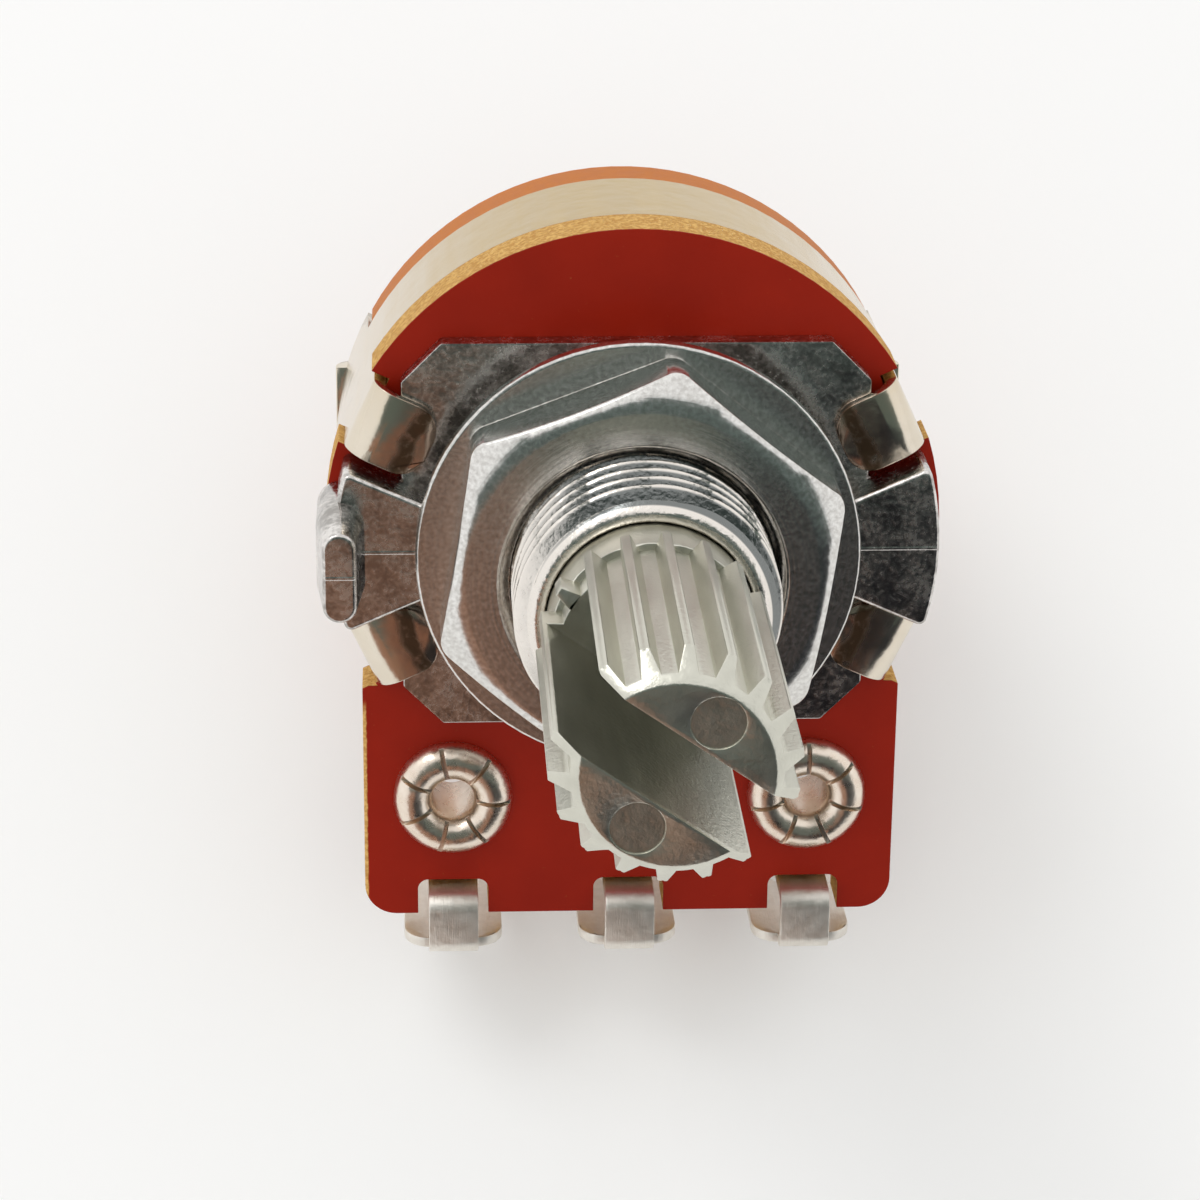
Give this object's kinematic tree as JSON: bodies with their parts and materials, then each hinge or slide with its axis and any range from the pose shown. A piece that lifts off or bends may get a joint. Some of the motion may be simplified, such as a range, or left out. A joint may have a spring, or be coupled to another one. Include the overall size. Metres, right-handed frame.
{
  "type": "switched potentiometer",
  "caption": "Rotary carbon potentiometer with an on-off switch, a threaded bushing with nut and washer, and a knurled, slotted shaft.",
  "frame": {"origin": "where the shaft's axis meets the mounting surface of the bushing plate, on which the panel or the washer bears", "axes": "+Z out along the shaft, +Y towards the round top of the board, the solder terminals leave at -Y, +X to the right as seen from in front of the shaft"},
  "size_m": [0.0171, 0.021, 0.0287],
  "materials": {
    "zinc_casting": "dull grey zinc die casting",
    "plated_steel": "bright nickel plate",
    "tinplate": "bright rolled tinplate",
    "tinned_terminal": "bright tin over brass",
    "rivet_metal": "bright tin over brass",
    "red_phenolic": "red paper phenolic, satin",
    "orange_phenolic": "orange-red paper phenolic, satin",
    "carbon_film": "matt black resistive print",
    "silver_print": "matt silver print",
    "shaft_zinc": "pale grey zinc die casting",
    "rotor_plastic": "natural white moulding",
    "spring_bronze": "phosphor bronze",
    "ring_steel": "plain spring steel"
  },
  "bodies": {
    "housing": {"bushing_plate": "zinc_casting", "flat_washer": "plated_steel", "mounting_nut": "plated_steel", "terminal_board": "red_phenolic", "carbon_track": "carbon_film", "silver_pads": "silver_print", "end_terminal_left": "tinned_terminal", "end_terminal_right": "tinned_terminal", "wiper_terminal": "tinned_terminal", "terminal_rivet_left": "rivet_metal", "terminal_rivet_right": "rivet_metal", "housing_can": "tinplate", "switch_board": "orange_phenolic", "switch_lug_left": "tinned_terminal", "switch_lug_right": "tinned_terminal", "switch_rivet_left": "rivet_metal", "switch_rivet_right": "rivet_metal", "fixed_contact": "spring_bronze", "switch_leaf": "spring_bronze"},
    "shaft": {"knurled_shaft": "shaft_zinc", "retaining_ring": "ring_steel", "rotor": "rotor_plastic", "wiper_brush": "spring_bronze"}
  },
  "joints": [
    {"name": "shaft_turn", "type": "hinge", "parent": "housing", "child": "shaft", "pos_m": [0, 0, 0], "axis": [0, 0, 1], "range_deg": [-116, 184], "deforming": ["switch_leaf"]}
  ]
}
